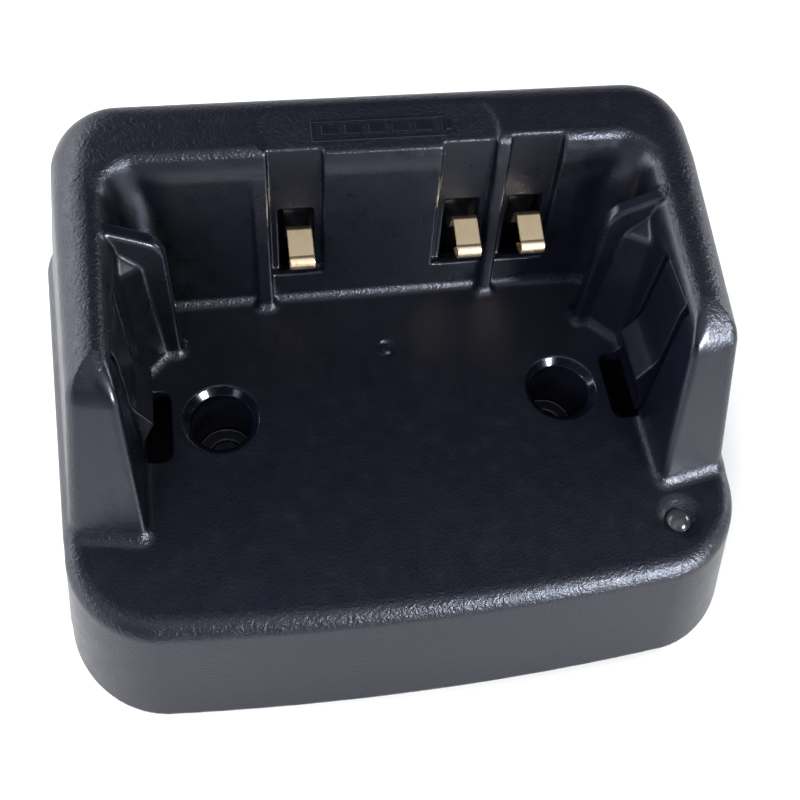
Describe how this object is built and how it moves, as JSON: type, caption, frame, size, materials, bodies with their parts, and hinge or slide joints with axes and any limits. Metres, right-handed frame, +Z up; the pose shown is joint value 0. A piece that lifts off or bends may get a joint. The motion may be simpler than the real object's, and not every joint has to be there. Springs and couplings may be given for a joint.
{
  "type": "radio charging cradle",
  "caption": "Desktop charging cradle for a handheld radio: open-fronted pocket with sprung contacts in the back wall, snap tongues in the arms, screw-down holes and an indicator.",
  "frame": {"origin": "midway between the two fixing holes, on the plane of the case underside (the rubber feet stand 0.8 mm below it)", "axes": "+X across the pocket to the right arm, +Y towards the back wall, +Z up out of the deck"},
  "size_m": [0.0996, 0.0753, 0.0441],
  "materials": {
    "case_abs": "spark-eroded texture",
    "cover_abs": "fine texture",
    "gold_contact": "thin gold plate, matte",
    "brass_rivet": "turned",
    "carrier_plastic": "moulded",
    "screw_steel": "zinc plated",
    "board_green": "solder mask",
    "chip_black": "moulded epoxy",
    "ferrite": "sintered",
    "capacitor_can": "drawn can",
    "fuse_polymer": "coated",
    "led_clear": "clear epoxy",
    "pipe_clear": "polished",
    "jack_black": "moulded",
    "jack_metal": "nickel plated",
    "wire_black": "insulation",
    "wire_yellow": "insulation",
    "wire_red": "insulation",
    "foot_rubber": "moulded",
    "label_foil": "blank foil"
  },
  "bodies": {
    "cradle": {"upper_case": "case_abs", "bottom_cover": "cover_abs", "contact_terminals": "gold_contact", "contact_rivets": "brass_rivet", "contact_carrier": "carrier_plastic", "carrier_screws": "screw_steel", "board_screws": "screw_steel", "case_screws": "screw_steel", "main_board": "board_green", "charge_controller": "chip_black", "power_transistor": "chip_black", "protection_diode": "chip_black", "chip_resistors": "chip_black", "power_inductor": "ferrite", "filter_capacitors": "capacitor_can", "resettable_fuse": "fuse_polymer", "status_led": "led_clear", "light_pipe": "pipe_clear", "dc_jack_housing": "jack_black", "dc_jack_pin": "jack_metal", "dc_jack_spring": "jack_metal", "lead_negative": "wire_black", "lead_sense": "wire_yellow", "lead_positive": "wire_red", "foot_front_left": "foot_rubber", "foot_front_right": "foot_rubber", "foot_rear_left": "foot_rubber", "foot_rear_right": "foot_rubber", "rating_label": "label_foil"},
    "tongue_left": {"latch_left": "case_abs"},
    "tongue_right": {"latch_right": "case_abs"},
    "leaf_negative": {"contact_blade_negative": "gold_contact"},
    "leaf_sense": {"contact_blade_sense": "gold_contact"},
    "leaf_positive": {"contact_blade_positive": "gold_contact"}
  },
  "joints": [
    {"name": "leaf_negative_flex", "type": "hinge", "parent": "cradle", "child": "leaf_negative", "pos_m": [-0.0118, 0.0289, 0.0356], "axis": [1, 0, 0], "range_deg": [0, 12], "stiffness_Nm_per_rad": 0.04},
    {"name": "leaf_sense_flex", "type": "hinge", "parent": "cradle", "child": "leaf_sense", "pos_m": [0.0122, 0.0289, 0.0356], "axis": [1, 0, 0], "range_deg": [0, 12], "stiffness_Nm_per_rad": 0.04},
    {"name": "leaf_positive_flex", "type": "hinge", "parent": "cradle", "child": "leaf_positive", "pos_m": [0.02165, 0.0289, 0.0356], "axis": [1, 0, 0], "range_deg": [0, 12], "stiffness_Nm_per_rad": 0.04},
    {"name": "tongue_right_flex", "type": "hinge", "parent": "cradle", "child": "tongue_right", "pos_m": [0.03695, 0.0015, 0.0372], "axis": [0, -1, 0], "range_deg": [0, 9], "stiffness_Nm_per_rad": 0.25},
    {"name": "tongue_left_flex", "type": "hinge", "parent": "cradle", "child": "tongue_left", "pos_m": [-0.03695, 0.0015, 0.0372], "axis": [0, 1, 0], "range_deg": [0, 9], "stiffness_Nm_per_rad": 0.25}
  ]
}
